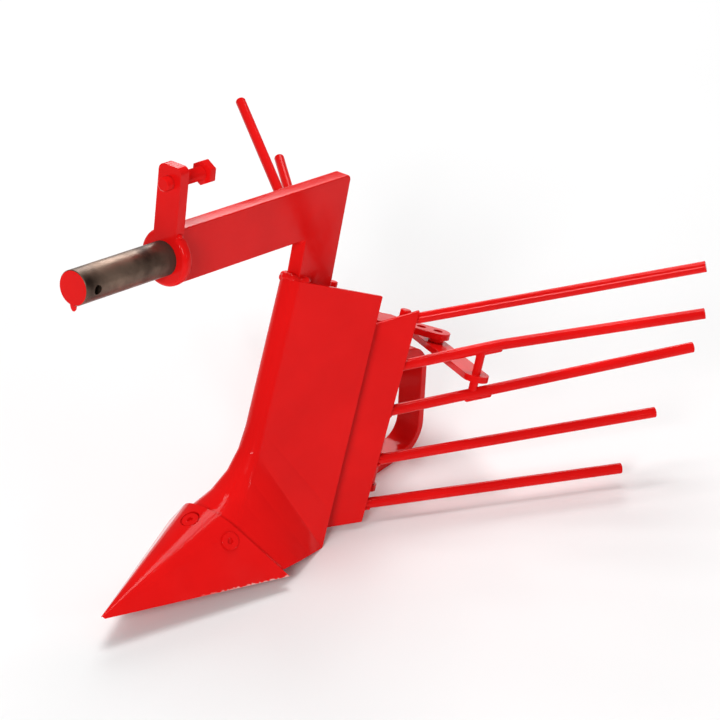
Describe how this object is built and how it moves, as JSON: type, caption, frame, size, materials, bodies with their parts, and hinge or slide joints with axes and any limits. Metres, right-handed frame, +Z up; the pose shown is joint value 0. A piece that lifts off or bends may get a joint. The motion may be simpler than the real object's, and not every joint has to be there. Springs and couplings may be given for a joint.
{
  "type": "potato lifting ridger for a walking tractor",
  "caption": "Red steel potato lifting ridger for a walking tractor, with hinged wings, lifting rods, a pointed share and a round hitch shaft.",
  "frame": {"origin": "middle of the box, on the floor", "axes": "+X left hand of the implement, +Y back, +Z up; it travels towards -Y"},
  "size_m": [0.5464, 0.5864, 0.4175],
  "materials": {
    "red_paint": "glossy enamel",
    "bare_steel": "turned, oiled"
  },
  "bodies": {
    "frame": {"hitch_shaft": "bare_steel", "lever": "red_paint", "set_bolt": "red_paint", "drawbar": "red_paint", "shank": "red_paint", "share": "red_paint", "brace": "red_paint", "yoke_upper": "red_paint", "yoke_lower": "red_paint", "mouldboard_left": "red_paint", "mouldboard_right": "red_paint", "hinge_pin_left": "red_paint", "hinge_pin_right": "red_paint"},
    "wing_left_body": {"wing_left": "red_paint", "hinge_sleeve_left": "red_paint", "link_pin_left": "red_paint", "rod_1_left": "red_paint", "rod_2_left": "red_paint", "rod_3_left": "red_paint", "rod_4_left": "red_paint", "rod_5_left": "red_paint"},
    "link_left_body": {"link_left": "red_paint"},
    "wing_right_body": {"wing_right": "red_paint", "hinge_sleeve_right": "red_paint", "link_pin_right": "red_paint", "rod_1_right": "red_paint", "rod_2_right": "red_paint", "rod_3_right": "red_paint", "rod_4_right": "red_paint", "rod_5_right": "red_paint"},
    "link_right_body": {"link_right": "red_paint", "link_spacer": "red_paint"}
  },
  "joints": [
    {"name": "wing_left_hinge", "type": "hinge", "parent": "frame", "child": "wing_left_body", "pos_m": [0.0427, 0.05888, 0.09936], "axis": [0, -0.342, -0.9397], "range_deg": [-21, 11]},
    {"name": "link_left_pivot", "type": "hinge", "parent": "wing_left_body", "child": "link_left_body", "pos_m": [0.10012, 0.12188, 0.12645], "axis": [0, -0.342, -0.9397], "range_deg": [-8.8, 16.8]},
    {"name": "wing_right_hinge", "type": "hinge", "parent": "frame", "child": "wing_right_body", "pos_m": [-0.0427, 0.05888, 0.09936], "axis": [0, 0.342, 0.9397], "range_deg": [-21, 11]},
    {"name": "link_right_pivot", "type": "hinge", "parent": "wing_right_body", "child": "link_right_body", "pos_m": [-0.10012, 0.12188, 0.12645], "axis": [0, 0.342, 0.9397], "range_deg": [-8.8, 16.8]}
  ],
  "couplings": [
    {"joint": "link_left_pivot", "follows": "wing_left_hinge", "ratio": -0.8},
    {"joint": "link_right_pivot", "follows": "wing_right_hinge", "ratio": -0.8}
  ]
}
